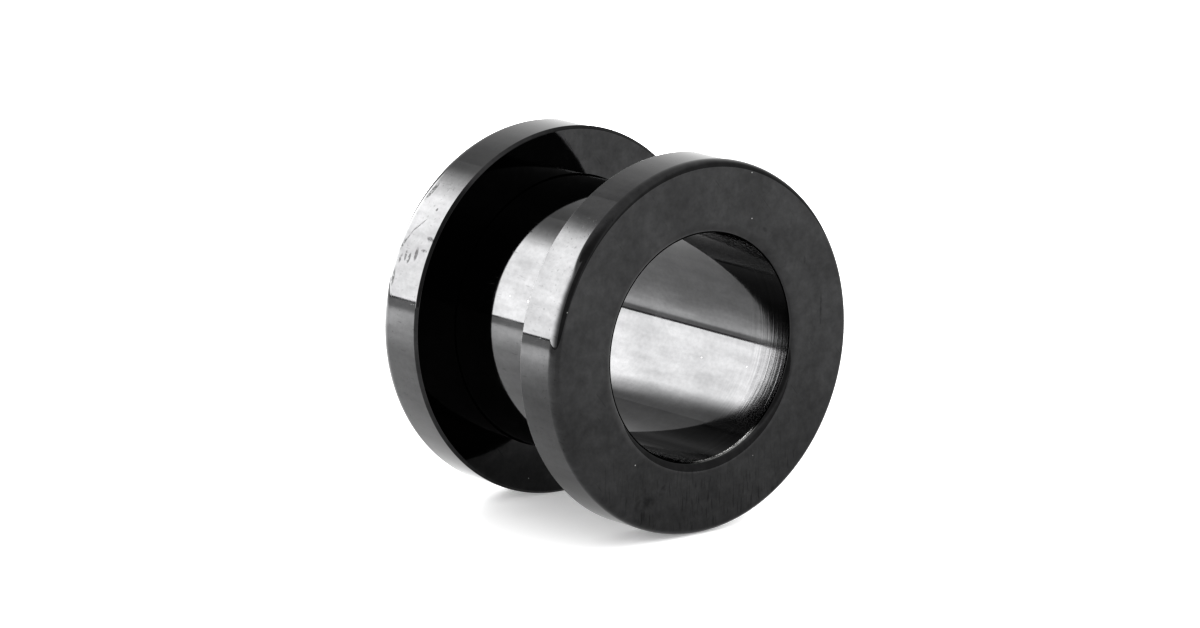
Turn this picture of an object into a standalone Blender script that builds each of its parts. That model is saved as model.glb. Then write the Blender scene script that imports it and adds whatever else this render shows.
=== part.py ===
"""Screw-fit ear tunnel: a polished black steel spool that lies on its two rims.

The tunnel's axis runs along Y and its display face looks towards -Y. The origin is on the
surface that the rims rest on, under the middle of the spool. Lengths are in metres.
"""
import math

import bpy

MM = 0.001

# Driving sizes, from the gauge of the piercing
BARREL_DIAMETER = 10.0 * MM      # gauge size: the hole in the lobe
BORE_DIAMETER = 8.3 * MM
FLANGE_DIAMETER = 13.6 * MM
FLANGE_THICKNESS = 2.05 * MM
WEARING_LENGTH = 5.9 * MM        # between the flanges, where the lobe sits

# Edges
RIM_ROUNDING = 0.42 * MM         # outer edge of each flange's outer face
INNER_EDGE_CHAMFER = 0.1 * MM    # outer edge of each flange's inner face
MOUTH_ROUNDING = 0.25 * MM       # edge of the bore at each end
ROUNDING_STEPS = 5

# Screw joint between the barrel and the loose flange
SEAM = 0.04 * MM                 # between the barrel's shoulder and the loose flange
SHOULDER_BREAK = 0.03 * MM       # edge break on the barrel's shoulder
RECESS_RADIUS = 5.03 * MM        # shallow recess in the loose flange under the shoulder
RECESS_DEPTH = 0.1 * MM
SPIGOT_DIAMETER = 9.4 * MM       # over the thread's crests
THREAD_CLEARANCE = 0.03 * MM     # crest to crest, so that the flange lifts off straight
THREAD_PITCH = 0.35 * MM
THREAD_DEPTH = 0.2 * MM
THREAD_FLANK = 0.12 * MM         # length of one flank along the axis
THREAD_CREST = 0.05 * MM         # length of a crest along the axis
THREAD_RELIEF = 0.22 * MM        # plain run between the shoulder and the first ridge
THREAD_RIDGES = 4                # full ridges before the plain end of the spigot
END_CHAMFER = 0.08 * MM          # on the spigot's end and on the flange's hole

# Facets round the axis: an odd multiple of two puts a flat facet at the bottom of each rim
SIDES = 74

# Derived sizes
FLANGE_RADIUS = FLANGE_DIAMETER / 2
BARREL_RADIUS = BARREL_DIAMETER / 2
BORE_RADIUS = BORE_DIAMETER / 2
SPIGOT_RADIUS = SPIGOT_DIAMETER / 2
HOLE_RADIUS = SPIGOT_RADIUS + THREAD_CLEARANCE
HALF_LENGTH = WEARING_LENGTH / 2 + FLANGE_THICKNESS
FRONT_INNER = HALF_LENGTH - FLANGE_THICKNESS
BACK_INNER = FLANGE_THICKNESS - HALF_LENGTH
SHOULDER = BACK_INNER + SEAM
AXIS_HEIGHT = FLANGE_RADIUS * math.cos(math.pi / SIDES)
MERGE_DISTANCE = 0.000001

# Colours of the coating
BLACK_COATING = (0.2, 0.2, 0.205, 1.0)
BLACK_ROUGHNESS = 0.06


def clear_scene():
    """Remove whatever the file holds before the part is made."""
    for thing in list(bpy.data.objects):
        bpy.data.objects.remove(thing, do_unlink=True)


def named_collection(name):
    """Make a collection and link it to the scene."""
    collection = bpy.data.collections.new(name)
    bpy.context.scene.collection.children.link(collection)
    return collection


def metal(name, colour, roughness):
    """Make a metal with one colour and one roughness."""
    material = bpy.data.materials.new(name)
    material.use_nodes = True
    shader = material.node_tree.nodes["Principled BSDF"]
    shader.inputs["Base Color"].default_value = colour
    shader.inputs["Metallic"].default_value = 1.0
    shader.inputs["Roughness"].default_value = roughness
    return material


def quarter_round(centre_radius, centre_height, rounding, start_degrees, end_degrees):
    """Points of a quarter circle in the (radius, height) plane, both ends included."""
    points = []
    for step in range(ROUNDING_STEPS + 1):
        share = step / ROUNDING_STEPS
        angle = math.radians(start_degrees + (end_degrees - start_degrees) * share)
        points.append((centre_radius + rounding * math.cos(angle),
                       centre_height + rounding * math.sin(angle)))
    return points


def thread_outline(base_radius, height):
    """Ridges that stand out from base_radius, down the axis from the shoulder at height.

    Each ridge is a flank up, a crest and a flank down. The last flank only rises: past it
    the outline stays at the crests' radius.
    """
    crest_radius = base_radius + THREAD_DEPTH
    points = []
    for ridge in range(THREAD_RIDGES + 1):
        start = height - THREAD_RELIEF - ridge * THREAD_PITCH
        points.append((base_radius, start))
        points.append((crest_radius, start - THREAD_FLANK))
        if ridge < THREAD_RIDGES:
            crest_end = start - THREAD_FLANK - THREAD_CREST
            points.append((crest_radius, crest_end))
            points.append((base_radius, crest_end - THREAD_FLANK))
    return points


def body_outline():
    """Section of the display flange, the barrel and the threaded spigot, as (radius, height)."""
    outline = quarter_round(FLANGE_RADIUS - RIM_ROUNDING, HALF_LENGTH - RIM_ROUNDING,
                            RIM_ROUNDING, 90, 0)
    outline += [(FLANGE_RADIUS, FRONT_INNER + INNER_EDGE_CHAMFER),
                (FLANGE_RADIUS - INNER_EDGE_CHAMFER, FRONT_INNER),
                (BARREL_RADIUS, FRONT_INNER),
                (BARREL_RADIUS, SHOULDER + SHOULDER_BREAK),
                (BARREL_RADIUS - SHOULDER_BREAK, SHOULDER),
                (SPIGOT_RADIUS - THREAD_DEPTH, SHOULDER)]
    outline += thread_outline(SPIGOT_RADIUS - THREAD_DEPTH, SHOULDER)
    outline += [(SPIGOT_RADIUS, END_CHAMFER - HALF_LENGTH),
                (SPIGOT_RADIUS - END_CHAMFER, -HALF_LENGTH)]
    outline += quarter_round(BORE_RADIUS + MOUTH_ROUNDING, MOUTH_ROUNDING - HALF_LENGTH,
                             MOUTH_ROUNDING, 270, 180)
    outline += quarter_round(BORE_RADIUS + MOUTH_ROUNDING, HALF_LENGTH - MOUTH_ROUNDING,
                             MOUTH_ROUNDING, 180, 90)
    return outline


def flange_outline():
    """Section of the loose flange with its threaded hole, as (radius, height)."""
    outline = [(FLANGE_RADIUS - INNER_EDGE_CHAMFER, BACK_INNER),
               (FLANGE_RADIUS, BACK_INNER - INNER_EDGE_CHAMFER)]
    outline += quarter_round(FLANGE_RADIUS - RIM_ROUNDING, RIM_ROUNDING - HALF_LENGTH,
                             RIM_ROUNDING, 0, -90)
    outline += [(HOLE_RADIUS + END_CHAMFER, -HALF_LENGTH),
                (HOLE_RADIUS, END_CHAMFER - HALF_LENGTH)]
    grooves = []
    for ridge in range(THREAD_RIDGES):
        start = SHOULDER - THREAD_RELIEF - ridge * THREAD_PITCH
        grooves += [(HOLE_RADIUS, start),
                    (HOLE_RADIUS + THREAD_DEPTH, start - THREAD_FLANK),
                    (HOLE_RADIUS + THREAD_DEPTH, start - THREAD_FLANK - THREAD_CREST),
                    (HOLE_RADIUS, start - 2 * THREAD_FLANK - THREAD_CREST)]
    outline += reversed(grooves)
    outline += [(HOLE_RADIUS, BACK_INNER - RECESS_DEPTH),
                (RECESS_RADIUS - RECESS_DEPTH, BACK_INNER - RECESS_DEPTH),
                (RECESS_RADIUS, BACK_INNER)]
    return outline


def turned_piece(name, outline, collection, material):
    """Turn a closed (radius, height) outline about the tunnel's axis.

    The outline is drawn at +X with its height along Z. The piece then lies down, so that its
    top looks towards -Y, and its origin stays on the tunnel's axis.
    """
    count = len(outline)
    mesh = bpy.data.meshes.new(name)
    mesh.from_pydata([(radius, 0.0, height) for radius, height in outline],
                     [(point, (point + 1) % count) for point in range(count)], [])
    piece = bpy.data.objects.new(name, mesh)
    collection.objects.link(piece)
    piece.rotation_euler = (math.radians(90), 0.0, 0.0)
    piece.location = (0.0, 0.0, AXIS_HEIGHT)

    turn = piece.modifiers.new("Turn", "SCREW")
    turn.axis = "Z"
    turn.angle = math.radians(360)
    turn.steps = SIDES
    turn.render_steps = SIDES
    turn.use_merge_vertices = True
    turn.merge_threshold = MERGE_DISTANCE
    return make_solid(piece, material)


def make_solid(piece, material):
    """Turn a piece's modifiers into its mesh, and shade it smooth between its edges."""
    bpy.context.view_layer.update()
    graph = bpy.context.evaluated_depsgraph_get()
    mesh = bpy.data.meshes.new_from_object(piece.evaluated_get(graph))
    mesh.name = piece.name
    piece.modifiers.clear()
    piece.data = mesh
    mesh.shade_smooth()
    mesh.set_sharp_from_angle(angle=math.radians(30))
    mesh.materials.clear()
    mesh.materials.append(material)
    return piece


def main():
    """Make the two pieces of the tunnel, screwed together."""
    clear_scene()
    collection = named_collection("ear_tunnel")
    body_metal = metal("tunnel_body_metal", BLACK_COATING, BLACK_ROUGHNESS)
    flange_metal = metal("screw_flange_metal", BLACK_COATING, BLACK_ROUGHNESS)
    turned_piece("tunnel_body", body_outline(), collection, body_metal)
    turned_piece("screw_flange", flange_outline(), collection, flange_metal)


main()
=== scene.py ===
"""Looks of a polished black screw-fit ear tunnel that lies on its two rims.

Lengths are in metres. The tunnel's axis runs along Y, its display face looks towards -Y, and
Z is up. Run as a script, this add-on calls its own operators in order.
"""

import math

import bpy
import numpy as np
from mathutils import Matrix, Vector


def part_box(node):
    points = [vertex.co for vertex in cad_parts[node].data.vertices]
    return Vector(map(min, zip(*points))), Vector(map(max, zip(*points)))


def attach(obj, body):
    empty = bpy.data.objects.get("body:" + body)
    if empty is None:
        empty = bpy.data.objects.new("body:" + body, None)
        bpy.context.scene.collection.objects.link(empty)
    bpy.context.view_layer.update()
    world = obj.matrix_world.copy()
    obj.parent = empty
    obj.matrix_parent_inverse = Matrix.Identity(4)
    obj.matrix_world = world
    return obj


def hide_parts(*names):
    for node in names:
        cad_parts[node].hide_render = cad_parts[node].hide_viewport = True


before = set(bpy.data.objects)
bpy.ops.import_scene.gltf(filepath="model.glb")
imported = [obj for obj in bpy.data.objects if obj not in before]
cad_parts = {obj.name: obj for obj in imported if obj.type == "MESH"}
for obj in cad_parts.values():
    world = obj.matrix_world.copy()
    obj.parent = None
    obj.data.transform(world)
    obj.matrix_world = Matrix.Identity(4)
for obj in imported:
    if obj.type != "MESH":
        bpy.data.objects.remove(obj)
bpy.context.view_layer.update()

bl_info = {
    "name": "Screw-fit ear tunnel",
    "version": (1, 0, 0),
    "blender": (4, 5, 0),
    "location": "View3D > Sidebar > Ear Tunnel",
    "description": "Makes a polished black ear tunnel with its loose threaded flange",
    "category": "Add Mesh",
}

MM = 0.001
BODY_NODE, FLANGE_NODE = "tunnel_body", "screw_flange"
BODY_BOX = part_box(BODY_NODE)
FLANGE_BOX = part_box(FLANGE_NODE)

# Places that come from the frame
AXIS_HEIGHT = (BODY_BOX[0].z + BODY_BOX[1].z) / 2
FLANGE_RADIUS = (BODY_BOX[1].z - BODY_BOX[0].z) / 2
FRONT = BODY_BOX[0].y
BACK = BODY_BOX[1].y
BACK_INNER = FLANGE_BOX[0].y
FRONT_INNER = FRONT + (BACK - BACK_INNER)


def amount(name, description, default, **limits):
    """A setting from 0 up."""
    return bpy.props.FloatProperty(name=name, description=description, default=default, min=0.0,
                                   **limits)


def fraction(name, description, default):
    """A setting from 0 to 1."""
    return amount(name, description, default, max=1.0)


def length(name, description, millimetres):
    """A setting in metres, whose default is given in millimetres."""
    return amount(name, description, millimetres * MM, unit="LENGTH", precision=5)


def colour_setting(name, description, default):
    """A setting that is a colour."""
    return bpy.props.FloatVectorProperty(name=name, description=description, default=default,
                                         subtype="COLOR", size=3, min=0.0, max=1.0)


class TunnelSizes(bpy.types.PropertyGroup):
    """Sizes that the frame doesn't give."""
    barrel_radius: length("Barrel radius", "Half of the gauge that the piercing takes", 5.0)
    bore_radius: length("Bore radius", "Half of the open way through the tunnel", 4.15)
    rim_rounding: length("Rim rounding", "How far each flange's buffed edge reaches along its rim", 0.42)
    rim_reach: length("Rim reach", "How far that buffed edge reaches over the outer face", 0.27)
    rim_chamfer: length("Rim chamfer", "Outer edge of each flange's inner face", 0.1)
    edge_break: length("Edge break", "Rounding of every small edge", 0.02)
    mouth_reach: length("Mouth reach", "How far the bore's buffed edge reaches over the face", 0.45)
    mouth_depth: length("Mouth depth", "How far the bore's buffed edge reaches into the bore", 0.22)
    foot_fillet: length("Foot fillet", "Hollow where the barrel meets the front flange", 0.06)
    seam: length("Seam", "Gap between the barrel's shoulder and the loose flange", 0.04)
    recess_radius: length("Recess radius", "Shallow recess in the loose flange", 5.03)
    recess_depth: length("Recess depth", "Depth of that recess", 0.1)
    spigot_radius: length("Spigot radius", "Over the thread's crests", 4.7)
    hole_radius: length("Hole radius", "Under the crests of the loose flange's thread", 4.73)
    thread_depth: length("Thread depth", "Height of the thread", 0.2)
    thread_pitch: length("Thread pitch", "Advance of the thread for each turn", 0.35)
    thread_relief: length("Thread relief", "Plain run between the shoulder and the thread", 0.2)
    thread_end: length("Thread end", "Plain run at the spigot's end", 0.34)
    end_chamfer: length("End chamfer", "Edge of the spigot's end and of the flange's hole", 0.08)
    sectors: bpy.props.IntProperty(name="Sectors", description="Faces round the axis",
                                   default=384, min=12)


class TunnelFinish(bpy.types.PropertyGroup):
    """Colours and gloss of the coating."""
    coating: colour_setting("Coating", "Colour of the black coating on the steel",
                            (0.0395, 0.0395, 0.04))
    # Bare steel's colour: used for the dust, and for the painted highlight on the low side of the bore's
    # lip
    dust_and_highlight_colour: colour_setting("Bare steel", "Colour where the coating is worn or dusty",
                               (0.62, 0.62, 0.61))
    gloss_roughness: fraction("Polish roughness", "Roughness where the polish is best", 0.045)
    edge_tint: fraction("Edge tint", "How bright the coating is when seen along it", 0.9)
    ring_height: amount("Ring height", "Height of the bore's turned rings in micrometres", 1.5)


class StageSettings(bpy.types.PropertyGroup):
    """Floor and light."""
    floor_colour: colour_setting("Floor", "Colour of the pale floor", (0.88, 0.88, 0.88))
    room_light: amount("Room light", "Brightness of the pale room", 1.48)
    table_light: amount("Table light", "Glow of the pale board itself", 0.22)
    mirrored_room: fraction("Mirrored room", "How much of the room's light mirrors show", 0.78)
    # Painted light on the board: the far glow, which leaves painted shade near the tunnel and on the dim
    # side, and a painted pool of the panel's light
    painted_far_light: amount("Far glow", "Extra glow of the board away from the tunnel", 0.4)
    painted_pool_light: amount("Pool light", "Extra glow of the board before the panel", 3.5)
    second_mirror: fraction("Second mirror", "How much of the panel is seen through two mirrors", 0.2)
    dim_share: fraction("Dim share", "How much dimmer the mirrored room's dim side is", 0.55)
    panel_light: amount("Panel light", "Brightness of the soft panel", 12.5)
    panel_distance: length("Panel distance", "From the tunnel to the soft panel", 170.0)


WHITE = (1.0, 1.0, 1.0)
DEGREES = 180 / math.pi          # in one radian

# From here on, a pair for a soft edge is where that edge starts and where it ends.
# Level directions (x, y) of length 1, from the tunnel. The dim side is behind the camera and to its
# left, a second and weaker one is to its right, and the pool of light lies before the soft panel
DIM_SIDE = (-0.94, -0.34)
DIM_RIGHT = (0.85, -0.53)
POOL_SIDE = (-0.57, 0.82)

# Soft edges of the room's dim sides, as cosines of the angle from their directions
DIM_SIDE_EDGE = (0.2, 0.6)
DIM_RIGHT_EDGE = (0.35, 0.75)
DIM_RIGHT_SHARE = 0.75           # its dimness, with the dim side's as 1

# Floor: metres, then soft edges in millimetres from the tunnel and in degrees of azimuth
FLOOR_HALF_WIDTH = 1.5
FLOOR_ROUGHNESS = 0.3
# Edges of the light painted on the board: the far glow, and the pool of the panel's light
PAINTED_FAR_EDGE = (12.0, 45.0)     # all round the tunnel
DIM_FLOOR_EDGE = (-5.0, 25.0)    # towards the dim side, where the painted far light ends
POOL_NEAR_EDGE = (0.0, 62.0)     # towards the pool
POOL_FAR_EDGE = (85.0, 140.0)
POOL_FAR_LOSS = 0.7              # of the pool's glow, past its far edge
POOL_LEFT_EDGE = (-68.0, -43.0)
POOL_RIGHT_EDGE = (0.0, 70.0)

# Soft panel: its shape, then its soft edges, in degrees of azimuth or elevation
PANEL_AZIMUTHS = (-110.0, 5.0)
PANEL_ELEVATION = 46.0
PANEL_FOOT = 1.4                 # height of its lower edge, with the tunnel's axis at 1
PANEL_COLUMNS = 93
PANEL_LEFT_EDGE = (-110.0, -48.0)
PANEL_LEFT_CURVE = 1.5           # above 1, its left end stays dim for longer
PANEL_RIGHT_EDGE = (-8.0, 2.0)
PANEL_TOP_EDGE = (37.0, 43.0)
TWO_MIRRORS = (1.2, 1.8)         # parts one mirror from two, as glossy depth is a whole number


# Camera, from the photograph's frame of 1200 by 628 pixels
TOWARDS_CAMERA = Vector((-0.6159, -0.7558, 0.2224))
CAMERA_DISTANCE = 37.45          # in flange radii, from the display face
SENSOR_WIDTH = 36.0              # millimetres
PHOTO_WIDTH = 1200
RADIUS_PIXELS = 191.27           # one flange radius at the display face
OFF_CENTRE = (0.5434, 0.1815)    # the display face's middle, right of and below the view's middle
CLIP_START, CLIP_END = 0.01, 10.0

# Turned surfaces
ARC_STEPS = 10                   # on each rounded corner of a section
THREAD_ROWS = 84
BODY_BEFORE_THREAD = 6           # corners of the body's section that come before its thread
FLANGE_BEFORE_THREAD = 5         # and of the loose flange's section
FLANK_START, FLANK_END = 0.09, 0.42   # shares of the pitch, from the middle of the thread's root


def outline(corners, steps):
    """Round off the corners of a closed (radius, y) polygon.

    Each corner C is (radius, y, a, b). Its tangent points A and B lie the lengths a and b from C
    towards the corners before and after it, and the rounding between them is the quarter ellipse
    C + (A - C)(1 - sin t) + (B - C)(1 - cos t) for t from 0 to a quarter turn. Returns the points
    and their outward normals, a list with one pair of arrays for each corner.
    """
    table = np.array(corners, float)
    points, reach = table[:, :2], table[:, 2:]
    t = np.linspace(0.0, math.pi / 2, steps + 1)[:, None]
    parts = []
    for index, corner in enumerate(points):
        before = points[index - 1] - corner
        after = points[(index + 1) % len(points)] - corner
        before = before / np.linalg.norm(before) * reach[index, 0]
        after = after / np.linalg.norm(after) * reach[index, 1]
        arc = corner + before * (1 - np.sin(t)) + after * (1 - np.cos(t))
        along = after * np.sin(t) - before * np.cos(t)
        along /= np.linalg.norm(along, axis=1, keepdims=True)
        parts.append((arc, np.stack([along[:, 1], -along[:, 0]], axis=1)))
    return parts


def thread_ridge(y, theta, sizes):
    """Height of the thread, 0 at the root and 1 at the crest.

    The place along one turn is the fraction of y / pitch - theta / turn. The ridge rises and falls
    on smooth flanks of a third of the pitch either side of a narrow crest.
    """
    place = (y / sizes.thread_pitch - theta / (2 * math.pi)) % 1.0
    return fade(0.5 - np.abs(place - 0.5), FLANK_START, FLANK_END)


def fade(value, start, end):
    """Smooth step from 0 at start to 1 at end."""
    share = np.clip((value - start) / (end - start), 0.0, 1.0)
    return share * share * (3 - 2 * share)


def turned_mesh(name, rows, sizes, thread):
    """Turn rows of (radius, y) about the tunnel's axis into one closed mesh.

    A point is (radius cos a, y, axis height + radius sin a). In the rows from thread[0] to
    thread[1] the radius is a function of y and a, given by thread[2], and the normal there is
    outwards minus the radius's slopes along y and round the axis, times thread[3].
    """
    points = np.concatenate([part[0] for part in rows])
    normals = np.concatenate([part[1] for part in rows])
    count, sectors = len(points), sizes.sectors
    theta = np.arange(sectors) * (2 * math.pi / sectors)
    radius = np.repeat(points[:, :1], sectors, axis=1)
    y = np.repeat(points[:, 1:], sectors, axis=1)
    slope_a = np.zeros_like(radius)
    out_r = np.repeat(normals[:, :1], sectors, axis=1)
    out_y = np.repeat(normals[:, 1:], sectors, axis=1)

    first, last, height, facing = thread
    run = slice(first, last)
    angle = np.broadcast_to(theta, y[run].shape)
    step, turn = 0.001 * MM, 0.0005
    radius[run] = height(y[run], angle)
    slope_y = (height(y[run] + step, angle) - height(y[run] - step, angle)) / (2 * step)
    slope_a[run] = (height(y[run], angle + turn) - height(y[run], angle - turn)) / (2 * turn)
    slope_a[run] /= radius[run]
    out_r[run] = facing
    out_y[run] = -facing * slope_y
    out_a = -out_r * slope_a

    cos_a, sin_a = np.cos(theta), np.sin(theta)
    places = np.stack([radius * cos_a, y, AXIS_HEIGHT + radius * sin_a], axis=-1)
    directions = np.stack([out_r * cos_a - out_a * sin_a, out_y, out_r * sin_a + out_a * cos_a], axis=-1)
    directions /= np.linalg.norm(directions, axis=-1, keepdims=True)

    row, sector = np.meshgrid(np.arange(count), np.arange(sectors), indexing="ij")
    next_row, next_sector = (row + 1) % count, (sector + 1) % sectors
    quads = np.stack([row * sectors + sector, next_row * sectors + sector,
                      next_row * sectors + next_sector, row * sectors + next_sector], axis=-1)
    return mesh_from(name, places.reshape(-1, 3), quads.reshape(-1, 4), directions.reshape(-1, 3))


def mesh_from(name, places, quads, directions):
    """Put arrays of points, quads and point normals into a new mesh."""
    mesh = bpy.data.meshes.new(name)
    mesh.vertices.add(len(places))
    mesh.vertices.foreach_set("co", places.astype(np.float32).ravel())
    mesh.loops.add(quads.size)
    mesh.loops.foreach_set("vertex_index", quads.astype(np.int32).ravel())
    mesh.polygons.add(len(quads))
    mesh.polygons.foreach_set("loop_start", np.arange(len(quads), dtype=np.int32) * 4)
    mesh.update(calc_edges=True)
    mesh.shade_smooth()
    mesh.normals_split_custom_set_from_vertices(directions.astype(np.float32))
    return mesh


def piece_from(mesh, material, body, node):
    """Show a mesh as a piece that stands for a CAD node and rides on its body."""
    piece = bpy.data.objects.new(mesh.name, mesh)
    bpy.context.scene.collection.objects.link(piece)
    mesh.materials.append(material)
    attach(piece, body)
    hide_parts(node)


class Number:
    """A value in a node tree: arithmetic on it adds Math nodes."""

    def __init__(self, recipe, socket):
        self.recipe, self.socket = recipe, socket

    def math(self, operation, *values):
        sockets = dict(enumerate(values))
        return self.recipe.node("ShaderNodeMath", {"operation": operation}, sockets)

    def __add__(self, other):
        return self.math("ADD", self, other)

    __radd__ = __add__

    def __sub__(self, other):
        return self.math("SUBTRACT", self, other)

    def __rsub__(self, other):
        return self.math("SUBTRACT", other, self)

    def __mul__(self, other):
        return self.math("MULTIPLY", self, other)

    __rmul__ = __mul__

    def __truediv__(self, other):
        return self.math("DIVIDE", self, other)

    def __rtruediv__(self, other):
        return self.math("DIVIDE", other, self)

    def __pow__(self, other):
        return self.math("POWER", self, other)

    def __rpow__(self, other):
        return self.math("POWER", other, self)

    def __neg__(self):
        return self * -1.0

    def larger(self, other):
        return self.math("MAXIMUM", self, other)

    def between(self, low, high):
        """Smooth step: 0 at low, 1 at high."""
        return self.recipe.node("ShaderNodeMapRange", {"interpolation_type": "SMOOTHSTEP"},
                                {"Value": self, "From Min": low, "From Max": high})


class Recipe:
    """A node tree under construction."""

    def __init__(self, tree):
        self.tree = tree
        tree.nodes.clear()

    def node(self, kind, settings=None, sockets=None, output=0):
        """Add a node: settings first, then values or links for its sockets."""
        made = self.tree.nodes.new(kind)
        for name, value in (settings or {}).items():
            setattr(made, name, value)
        for name, value in (sockets or {}).items():
            if isinstance(value, Number):
                self.tree.links.new(value.socket, made.inputs[name])
            else:
                made.inputs[name].default_value = value
        return Number(self, made.outputs[output]) if made.outputs else None

    def finish(self, shader, kind="ShaderNodeOutputMaterial"):
        self.node(kind, None, {"Surface": shader})

    def split(self, vector):
        """The three numbers of a vector."""
        parts = self.node("ShaderNodeSeparateXYZ", None, {"Vector": vector}).socket.node.outputs
        return [Number(self, parts[axis]) for axis in "XYZ"]

    def join(self, x, y, z):
        """A vector made of three numbers."""
        return self.node("ShaderNodeCombineXYZ", None, {"X": x, "Y": y, "Z": z})

    def place(self, space="Object"):
        """The three coordinates of the point that is shaded."""
        return self.split(self.node("ShaderNodeTexCoord", output=space))

    def scaled(self, colour, strength):
        """A colour times a strength that varies."""
        return self.node("ShaderNodeVectorMath", {"operation": "SCALE"}, {0: colour, "Scale": strength})

    def noise(self, x, y, z, detail):
        """Smooth noise, mostly from 0.3 to 0.7, with one blotch for each unit of its coordinates."""
        sockets = {"Vector": self.join(x, y, z), "Scale": 1.0, "Detail": detail}
        return self.node("ShaderNodeTexNoise", None, sockets)

    def dots(self, x, y, z, size, kept):
        """Small round dots: one for each unit cube, of which the share kept stays."""
        sockets = {"Vector": self.join(x, y, z), "Scale": 1.0}
        cells = self.node("ShaderNodeTexVoronoi", None, sockets).socket.node
        distance, colour = (Number(self, cells.outputs[name]) for name in ("Distance", "Color"))
        choice = self.split(colour)[0]
        return (1 - distance.between(size * 0.4, size)) * choice.between(1 - kept, 1 - kept * 0.9)


def new_material(name):
    """A new material, and the recipe that fills it."""
    material = bpy.data.materials.new(name)
    material.use_nodes = True
    return material, Recipe(material.node_tree)


def towards(u, v, direction):
    """How far a place lies in a direction: u * direction[0] + v * direction[1]."""
    return u * direction[0] + v * direction[1]


def azimuth_of(x, y):
    """Angle round the tunnel in degrees, 0 towards +Y and 90 towards +X."""
    return x.math("ARCTAN2", x, y) * DEGREES


def patch(u, v, centre, reach, turn):
    """Soft-edged ellipse: 1 in its middle, 0 outside its two half lengths, turned by degrees."""
    c, s = math.cos(math.radians(turn)), math.sin(math.radians(turn))
    across, along = u - centre[0], v - centre[1]
    first = (across * c + along * s) / reach[0]
    second = (along * c - across * s) / reach[1]
    return 1 - (first * first + second * second).between(0.2, 1.0)


def patches(u, v, table):
    """All ellipses of a table together: where two overlap, the stronger one counts."""
    together = patch(u, v, *table[0])
    for row in table[1:]:
        together = together.larger(patch(u, v, *row))
    return together


# Zones of the finish, in millimetres
BORE_EDGE = (4.17, 4.3)          # radius: from the bore to all that lies outside it
TURNED_EDGE = (-2.6, -0.4)       # along the bore: where its turned rings run out
TURNED_RAGGED = 3.0              # how far noise shifts that edge
LIP_INNER_EDGE = (4.70, 4.77)    # towards the front: the two edges of the lip where a highlight is painted
LIP_OUTER_EDGE = (4.80, 4.88)
HIGHLIGHT_SIDE = (0.259, -0.966)      # across and up, of length 1: the low side, where the highlight is painted on that lip
HIGHLIGHT_EDGE = (3.75, 4.05)         # towards that side
PITTED_EDGE = (6.5, 6.7)         # radius: pits on the rims
SCUFFED_EDGE = (6.6, 6.7)        # radius: scuffs on the loose flange's rim
SCUFFED_SIDE_EDGE = (0.0, 1.0)   # towards -X, the side that the photograph shows
FACE_EDGE = (4.86, 4.97)         # towards the front: the flat display face
LOW_EDGE = (2.2, 6.6)            # below the axis: where the streaks grow stronger

# Handling marks: centre and half lengths in millimetres, then a turn in degrees
SCUFF_ANGLE = 155.0              # where on the loose flange's rim its scuffs are counted from
RIM_SCUFFS = (
    ((0.33, 4.46), (0.22, 0.08), 8), ((0.20, 4.22), (0.25, 0.07), -6), ((0.26, 4.00), (0.25, 0.09), 4),
    ((0.06, 3.68), (0.30, 0.11), -4), ((1.06, 4.60), (0.36, 0.11), 0), ((-0.59, 3.22), (0.10, 0.26), 10),
    ((-1.00, 4.11), (0.44, 0.035), 38), ((-0.55, 4.40), (0.55, 0.03), 22),
    ((-0.20, 4.56), (0.34, 0.07), 20), ((-1.70, 3.66), (0.08, 0.07), 0),
    ((-2.32, 4.50), (0.45, 0.12), 12), ((-0.12, 3.32), (0.07, 0.2), 0),
)
FACE_MARKS = (
    ((-2.72, -5.27), (0.6, 0.3), 12), ((2.81, 3.95), (0.16, 0.09), -30), ((5.48, 0.64), (0.06, 0.80), -1),
    ((4.70, 2.55), (0.06, 0.2), 0), ((-1.90, -4.90), (0.3, 0.16), 50),
)


class Spot:
    """Where a point lies on the tunnel: millimetres from its axis and its middle."""

    def __init__(self, recipe):
        x, y, z = recipe.place()
        self.across, self.along, self.up = x / MM, y / MM, (z - AXIS_HEIGHT) / MM
        self.radius = (self.across * self.across + self.up * self.up) ** 0.5
        self.recipe = recipe

    def grain(self, round_axis, along_axis, detail, shift=0.0):
        """Noise with so many blotches a millimetre across the axis and along it."""
        return self.recipe.noise(self.across * round_axis + shift, self.along * along_axis,
                                 self.up * round_axis, detail)


def rim_scuffs(spot):
    """Dark scuffs and hairlines on the loose flange's rim.

    Their place round the rim is up * cos(angle) - across * sin(angle), for the scuff angle.
    """
    turn = math.radians(SCUFF_ANGLE)
    arc = spot.up * math.cos(turn) - spot.across * math.sin(turn)
    scuffs = patches(arc, spot.along, RIM_SCUFFS) * spot.grain(11.0, 11.0, 3.0).between(0.3, 0.52)
    return scuffs * spot.radius.between(*SCUFFED_EDGE) * (-spot.across).between(*SCUFFED_SIDE_EDGE)


def face_marks(spot):
    """Smudges and short upright streaks on the display face, most of them low down."""
    marks = patches(spot.across, spot.up, FACE_MARKS)
    low = (-spot.up).between(*LOW_EDGE)
    streaks = spot.recipe.noise(spot.across * 11.0, spot.along, spot.up * 1.5, 3.0).between(0.5, 0.7)
    few = spot.grain(0.8, 0.8, 2.0, 7.0).between(0.3, 0.6)
    broken = spot.grain(4.0, 4.0, 4.0, 3.0).between(0.3, 0.7)
    return (marks * broken * 0.5).larger(streaks * low * few * 0.6) * (-spot.along).between(*FACE_EDGE)


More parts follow.
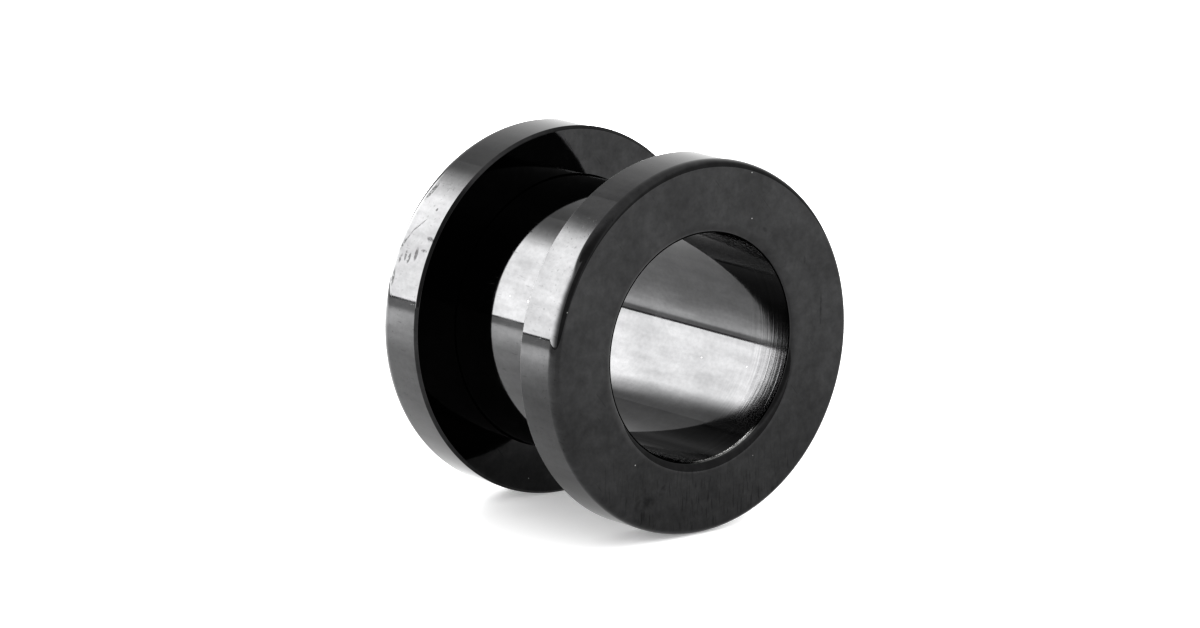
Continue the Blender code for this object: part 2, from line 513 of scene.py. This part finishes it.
def black_steel(name, finish, marks):
    """Black coated steel: mirror polish outside, turned rings in the front of the bore.

    The coating's colour is scaled by 1 + weight * (noise - 0.5) for each mottling and for the rings,
    and by 1 - weight * mark for the spots and scratches. The roughness is the polish's own plus a
    weight for each of them. The height is in micrometres. A painted highlight in bare steel's colour,
    rough, lies on the low side of the bore's lip, and a little of that colour shows in the dust.
    """
    material, recipe = new_material(name)
    spot = Spot(recipe)
    bore = 1 - spot.radius.between(*BORE_EDGE)
    outside = 1 - bore

    cloudy = spot.grain(0.55, 0.55, 5.0)
    banded = spot.grain(2.6, 0.45, 3.0, 11.0)
    fine = spot.grain(7.0, 5.0, 3.0, 23.0)
    turned = bore * (1 - (spot.along + cloudy * TURNED_RAGGED).between(*TURNED_EDGE))
    rings = spot.grain(0.3, 13.0, 3.0, 5.0)
    scratch = recipe.noise((spot.across + spot.up * 0.8) * 16.0, spot.along * 2.0,
                           (spot.up - spot.across * 0.8) * 0.6, 1.0).between(0.7, 0.76) * outside
    dust = recipe.dots(spot.across * 1.3, spot.along * 1.3, spot.up * 1.3, 0.045, 0.16)
    spots = marks(spot)

    # Painted highlight: bare steel's colour and a rough finish on the low side of the bore's lip, joined
    # in share with the real dust
    lip = (-spot.along).between(*LIP_INNER_EDGE) * (1 - (-spot.along).between(*LIP_OUTER_EDGE))
    low = towards(spot.across, spot.up, HIGHLIGHT_SIDE).between(*HIGHLIGHT_EDGE)
    share = (lip * bore * low * fine.between(0.15, 0.5)).larger(dust * 0.4)
    pits = spot.grain(9.0, 9.0, 2.0, 31.0).between(0.66, 0.74) * spot.radius.between(*PITTED_EDGE)
    spots = spots.larger(pits * 0.5)
    depth = (1 + (cloudy - 0.5) * 0.6) * (1 + (banded - 0.5) * 0.55) * (1 + (fine - 0.5) * 0.3)
    depth = depth * (1 - spots * 0.65) * (1 - scratch * 0.2) * (1 + (rings - 0.5) * turned * 1.2)
    # The colour turns to bare steel's where the highlight is painted on the lip and in the dust
    colour = recipe.node("ShaderNodeMix", {"data_type": "RGBA"}, {
        "Factor": share,
        "A": recipe.scaled(tuple(finish.coating), depth),
        "B": (*finish.dust_and_highlight_colour, 1.0),
    }, output=2)
    rough = finish.gloss_roughness + cloudy.between(0.48, 0.72) * 0.035 + spots * 0.22 + turned * 0.05
    rough = rough + scratch * 0.1 + share * 0.45
    height = cloudy * 1.2 + banded * 0.25 + rings * turned * finish.ring_height
    height = height - scratch * 0.15 - spots * 0.6
    bump = recipe.node("ShaderNodeBump", None, {"Distance": 0.001 * MM, "Height": height})
    tint = finish.edge_tint
    recipe.finish(recipe.node("ShaderNodeBsdfPrincipled", None, {
        "Base Color": colour, "Metallic": 1.0, "Roughness": rough, "Normal": bump,
        "Specular Tint": (tint, tint, tint, 1.0),
    }))
    return material


def body_corners(sizes):
    """Corners of the body's section, from the display face's rim round to the bore's mouth."""
    small, chamfer, rim = sizes.edge_break, sizes.rim_chamfer, sizes.rim_rounding
    shoulder = BACK_INNER + sizes.seam
    root = sizes.spigot_radius - sizes.thread_depth
    return [
        (FLANGE_RADIUS, FRONT, sizes.rim_reach, rim),
        (FLANGE_RADIUS, FRONT_INNER - chamfer, small, small),
        (FLANGE_RADIUS - chamfer, FRONT_INNER, small, small),
        (sizes.barrel_radius, FRONT_INNER, sizes.foot_fillet, sizes.foot_fillet),
        (sizes.barrel_radius, shoulder, small, small),
        (root, shoulder, small, small),
        (sizes.spigot_radius, BACK - sizes.end_chamfer, small, small),
        (sizes.spigot_radius - sizes.end_chamfer, BACK, small, small),
        (sizes.bore_radius, BACK, sizes.mouth_reach * 0.5, sizes.mouth_depth),
        (sizes.bore_radius, FRONT, sizes.mouth_depth, sizes.mouth_reach),
    ]


def flange_corners(sizes):
    """Corners of the loose flange's section, from its inner face round to its recess."""
    small, chamfer, rim = sizes.edge_break, sizes.rim_chamfer, sizes.rim_rounding
    end, depth = sizes.end_chamfer, sizes.recess_depth
    return [
        (FLANGE_RADIUS - chamfer, BACK_INNER, small, small),
        (FLANGE_RADIUS, BACK_INNER + chamfer, small, small),
        (FLANGE_RADIUS, BACK, rim, sizes.rim_reach),
        (sizes.hole_radius + end, BACK, small, small),
        (sizes.hole_radius, BACK - end, small, small),
        (sizes.hole_radius, BACK_INNER + depth, small, small),
        (sizes.recess_radius - depth, BACK_INNER + depth, small, small),
        (sizes.recess_radius, BACK_INNER, small, small),
    ]


def threaded(name, corners, before, run, height, facing, sizes):
    """Turn a section whose thread comes after so many of its corners.

    The thread's rows go from y run[0] to y run[1], and the height function sets their radius and
    normals. Facing is 1 for a thread on the outside and -1 for one in a hole.
    """
    parts = outline(corners, ARC_STEPS)
    first = sum(len(part[0]) for part in parts[:before])
    y = np.linspace(*run, THREAD_ROWS)
    rows = (np.stack([np.zeros(THREAD_ROWS), y], axis=1), np.zeros((THREAD_ROWS, 2)))
    thread = (first, first + THREAD_ROWS, height, facing)
    return turned_mesh(name, parts[:before] + [rows] + parts[before:], sizes, thread)


def body_mesh(sizes):
    """Display flange, barrel and threaded spigot as one turned surface."""
    start = BACK_INNER + sizes.seam + sizes.thread_relief * 0.5
    end = BACK - sizes.end_chamfer - sizes.edge_break * 2
    root = sizes.spigot_radius - sizes.thread_depth

    def height(y, theta):
        """Root radius plus the ridge, which fades in and ends in a plain crest."""
        ridge = thread_ridge(y, theta, sizes) * fade(y, start, start + sizes.thread_relief)
        plain = fade(y, BACK - sizes.thread_end, BACK - sizes.thread_end + sizes.thread_depth)
        return root + sizes.thread_depth * np.maximum(ridge, plain)

    return threaded("tunnel_body_turned", body_corners(sizes), BODY_BEFORE_THREAD, (start, end),
                    height, 1.0, sizes)


def flange_mesh(sizes):
    """Loose flange with its threaded hole as one turned surface."""
    start = BACK - sizes.end_chamfer - sizes.edge_break * 2
    end = BACK_INNER + sizes.recess_depth + sizes.edge_break * 2

    def height(y, theta):
        """Hole radius plus the groove, which fades out at both ends."""
        reach = sizes.thread_relief
        inside = fade(y, end, end + reach) * (1 - fade(y, start - reach, start))
        return sizes.hole_radius + sizes.thread_depth * thread_ridge(y, theta, sizes) * inside

    return threaded("screw_flange_turned", flange_corners(sizes), FLANGE_BEFORE_THREAD, (start, end),
                    height, -1.0, sizes)


class TUNNEL_OT_body(bpy.types.Operator):
    """Make the display flange, the barrel and the threaded spigot"""
    bl_idname = "ear_tunnel.body"
    bl_label = "Tunnel Body"
    bl_options = {"REGISTER", "UNDO"}

    def execute(self, context):
        scene = context.scene
        material = black_steel("body_black_steel", scene.tunnel_finish, face_marks)
        piece_from(body_mesh(scene.tunnel_sizes), material, BODY_NODE, BODY_NODE)
        return {"FINISHED"}


class TUNNEL_OT_flange(bpy.types.Operator):
    """Make the loose flange with its threaded hole"""
    bl_idname = "ear_tunnel.flange"
    bl_label = "Screw Flange"
    bl_options = {"REGISTER", "UNDO"}

    def execute(self, context):
        scene = context.scene
        material = black_steel("flange_black_steel", scene.tunnel_finish, rim_scuffs)
        piece_from(flange_mesh(scene.tunnel_sizes), material, FLANGE_NODE, FLANGE_NODE)
        return {"FINISHED"}


def floor_mesh():
    """Flat square sheet at height 0."""
    corner = np.array([[-1, -1], [1, -1], [1, 1], [-1, 1]]) * FLOOR_HALF_WIDTH
    places = np.column_stack([corner, np.zeros(4)])
    return mesh_from("pale_floor", places, np.array([[0, 1, 2, 3]]), np.tile([0.0, 0.0, 1.0], (4, 1)))


def panel_mesh(distance):
    """Upright sheet bent round the tunnel: (distance sin a, distance cos a, height).

    The height runs from just over the floor to the elevation's tangent times the distance.
    """
    columns = PANEL_COLUMNS
    a = np.radians(np.linspace(*PANEL_AZIMUTHS, columns))
    height = np.array([AXIS_HEIGHT * PANEL_FOOT, distance * math.tan(math.radians(PANEL_ELEVATION))])
    a, z = np.meshgrid(a, height)
    places = np.stack([distance * np.sin(a), distance * np.cos(a), z], axis=-1).reshape(-1, 3)
    inward = np.stack([-np.sin(a), -np.cos(a), np.zeros_like(a)], axis=-1).reshape(-1, 3)
    left = np.arange(columns - 1)
    quads = np.stack([left, left + 1, left + 1 + columns, left + columns], axis=-1)
    return mesh_from("soft_panel", places, quads, inward)


def stage_object(mesh, material):
    """Show a mesh that isn't part of the tunnel."""
    thing = bpy.data.objects.new(mesh.name, mesh)
    bpy.context.scene.collection.objects.link(thing)
    mesh.materials.append(material)
    return thing


def floor_material(stage):
    """Pale board with an even glow, and painted light: a pool of the panel's light painted as glow before
    the panel.

    The painted far glow rises with the distance from the tunnel, but not on the dim side, so shade is
    painted near the tunnel and on the dim side.
    """
    material, recipe = new_material("pale_board")
    x, y = recipe.place()[:2]
    away = (x * x + y * y) ** 0.5 / MM
    ahead = towards(x, y, POOL_SIDE) / MM
    azimuth = azimuth_of(x, y)
    # Painted light: the pool of the panel's light, as glow on the board
    pool = ahead.between(*POOL_NEAR_EDGE) * (1 - ahead.between(*POOL_FAR_EDGE) * POOL_FAR_LOSS)
    pool = pool * azimuth.between(*POOL_LEFT_EDGE) * (1 - azimuth.between(*POOL_RIGHT_EDGE))
    # Painted shade: the far glow is left out near the tunnel and on the dim side
    lit = 1 - (towards(x, y, DIM_SIDE) / MM).between(*DIM_FLOOR_EDGE)
    far = away.between(*PAINTED_FAR_EDGE) * lit * stage.painted_far_light
    recipe.finish(recipe.node("ShaderNodeBsdfPrincipled", None, {
        "Base Color": (*stage.floor_colour, 1.0),
        "Roughness": FLOOR_ROUGHNESS,
        "Emission Color": recipe.scaled(WHITE, stage.table_light + far + pool * stage.painted_pool_light),
        "Emission Strength": 1.0,
    }))
    return material


def panel_material(stage):
    """Light cloth: bright from its foot up, fading softly to the room's light at its top and ends.

    A ray that comes by way of two mirrors sees only a share of it.
    """
    material, recipe = new_material("light_cloth")
    x, y, z = recipe.place()
    azimuth = azimuth_of(x, y)
    elevation = z.math("ARCTANGENT", z / stage.panel_distance) * DEGREES
    top = 1 - elevation.between(*PANEL_TOP_EDGE)
    left = azimuth.between(*PANEL_LEFT_EDGE) ** PANEL_LEFT_CURVE
    right = 1 - azimuth.between(*PANEL_RIGHT_EDGE)
    depth = recipe.node("ShaderNodeLightPath", output="Glossy Depth")
    once = 1 - depth.between(*TWO_MIRRORS) * (1 - stage.second_mirror)
    strength = stage.room_light + top * left * right * once * (stage.panel_light - stage.room_light)
    recipe.finish(recipe.node("ShaderNodeEmission", None, {"Color": recipe.scaled(WHITE, strength)}))
    return material


class TUNNEL_OT_stage(bpy.types.Operator):
    """Make the floor, the soft light and the camera"""
    bl_idname = "ear_tunnel.stage"
    bl_label = "Stage"
    bl_options = {"REGISTER", "UNDO"}

    def execute(self, context):
        stage = context.scene.tunnel_stage
        stage_object(floor_mesh(), floor_material(stage))
        panel = stage_object(panel_mesh(stage.panel_distance), panel_material(stage))
        panel.visible_camera = False
        # The panel lights no diffuse surface: its pool of light on the board is painted in the board's
        # glow
        panel.visible_diffuse = False
        self.room(context.scene, stage)
        self.camera(context.scene)
        context.scene.view_settings.view_transform = "Standard"
        context.scene.view_settings.look = "High Contrast"
        return {"FINISHED"}

    @staticmethod
    def room(scene, stage):
        """Pale room, which is darker in mirrors than to the eye, most of all on its two dim sides."""
        world = bpy.data.worlds.new("pale_room")
        world.use_nodes = True
        recipe = Recipe(world.node_tree)
        x, y = recipe.place("Generated")[:2]
        dim = towards(x, y, DIM_SIDE).between(*DIM_SIDE_EDGE)
        weaker = towards(x, y, DIM_RIGHT).between(*DIM_RIGHT_EDGE) * DIM_RIGHT_SHARE
        mirrored = (1 - dim.larger(weaker) * stage.dim_share) * stage.mirrored_room
        glossy = recipe.node("ShaderNodeLightPath", output="Is Glossy Ray")
        strength = (1 - glossy * (1 - mirrored)) * stage.room_light
        background = recipe.node("ShaderNodeBackground", None, {"Color": recipe.scaled(WHITE, strength)})
        recipe.finish(background, "ShaderNodeOutputWorld")
        scene.world = world

    @staticmethod
    def camera(scene):
        """Look at the tunnel from the photograph's side, with its display face off the middle."""
        back = TOWARDS_CAMERA.normalized()
        right = Vector((0.0, 0.0, 1.0)).cross(back).normalized()
        up = back.cross(right)
        face = Vector((0.0, FRONT, AXIS_HEIGHT))
        place = (face + back * CAMERA_DISTANCE * FLANGE_RADIUS - right * OFF_CENTRE[0] * FLANGE_RADIUS
                 + up * OFF_CENTRE[1] * FLANGE_RADIUS)
        data = bpy.data.cameras.new("photo_camera")
        data.sensor_width = SENSOR_WIDTH
        data.lens = SENSOR_WIDTH * RADIUS_PIXELS * CAMERA_DISTANCE / PHOTO_WIDTH
        data.clip_start, data.clip_end = CLIP_START, CLIP_END
        camera = bpy.data.objects.new("photo_camera", data)
        camera.matrix_world = Matrix.Translation(place) @ Matrix((right, up, back)).transposed().to_4x4()
        scene.collection.objects.link(camera)
        scene.camera = camera


class TUNNEL_PT_panel(bpy.types.Panel):
    """Lists the tunnel's pieces"""
    bl_label = "Ear Tunnel"
    bl_idname = "TUNNEL_PT_panel"
    bl_space_type = "VIEW_3D"
    bl_region_type = "UI"
    bl_category = "Ear Tunnel"

    def draw(self, context):
        for group in ("tunnel_sizes", "tunnel_finish", "tunnel_stage"):
            settings = getattr(context.scene, group)
            for name in type(settings).__annotations__:
                self.layout.prop(settings, name)
        for operator in STEPS:
            self.layout.operator(operator.bl_idname)


STEPS = (TUNNEL_OT_body, TUNNEL_OT_flange, TUNNEL_OT_stage)
CLASSES = (TunnelSizes, TunnelFinish, StageSettings, *STEPS, TUNNEL_PT_panel)


def register():
    for cls in CLASSES:
        bpy.utils.register_class(cls)
    bpy.types.Scene.tunnel_sizes = bpy.props.PointerProperty(type=TunnelSizes)
    bpy.types.Scene.tunnel_finish = bpy.props.PointerProperty(type=TunnelFinish)
    bpy.types.Scene.tunnel_stage = bpy.props.PointerProperty(type=StageSettings)


def unregister():
    del bpy.types.Scene.tunnel_stage
    del bpy.types.Scene.tunnel_finish
    del bpy.types.Scene.tunnel_sizes
    for cls in reversed(CLASSES):
        bpy.utils.unregister_class(cls)


def main():
    """Make the tunnel and its stage."""
    register()
    bpy.ops.ear_tunnel.body()
    bpy.ops.ear_tunnel.flange()
    bpy.ops.ear_tunnel.stage()


if __name__ == "__main__":
    main()
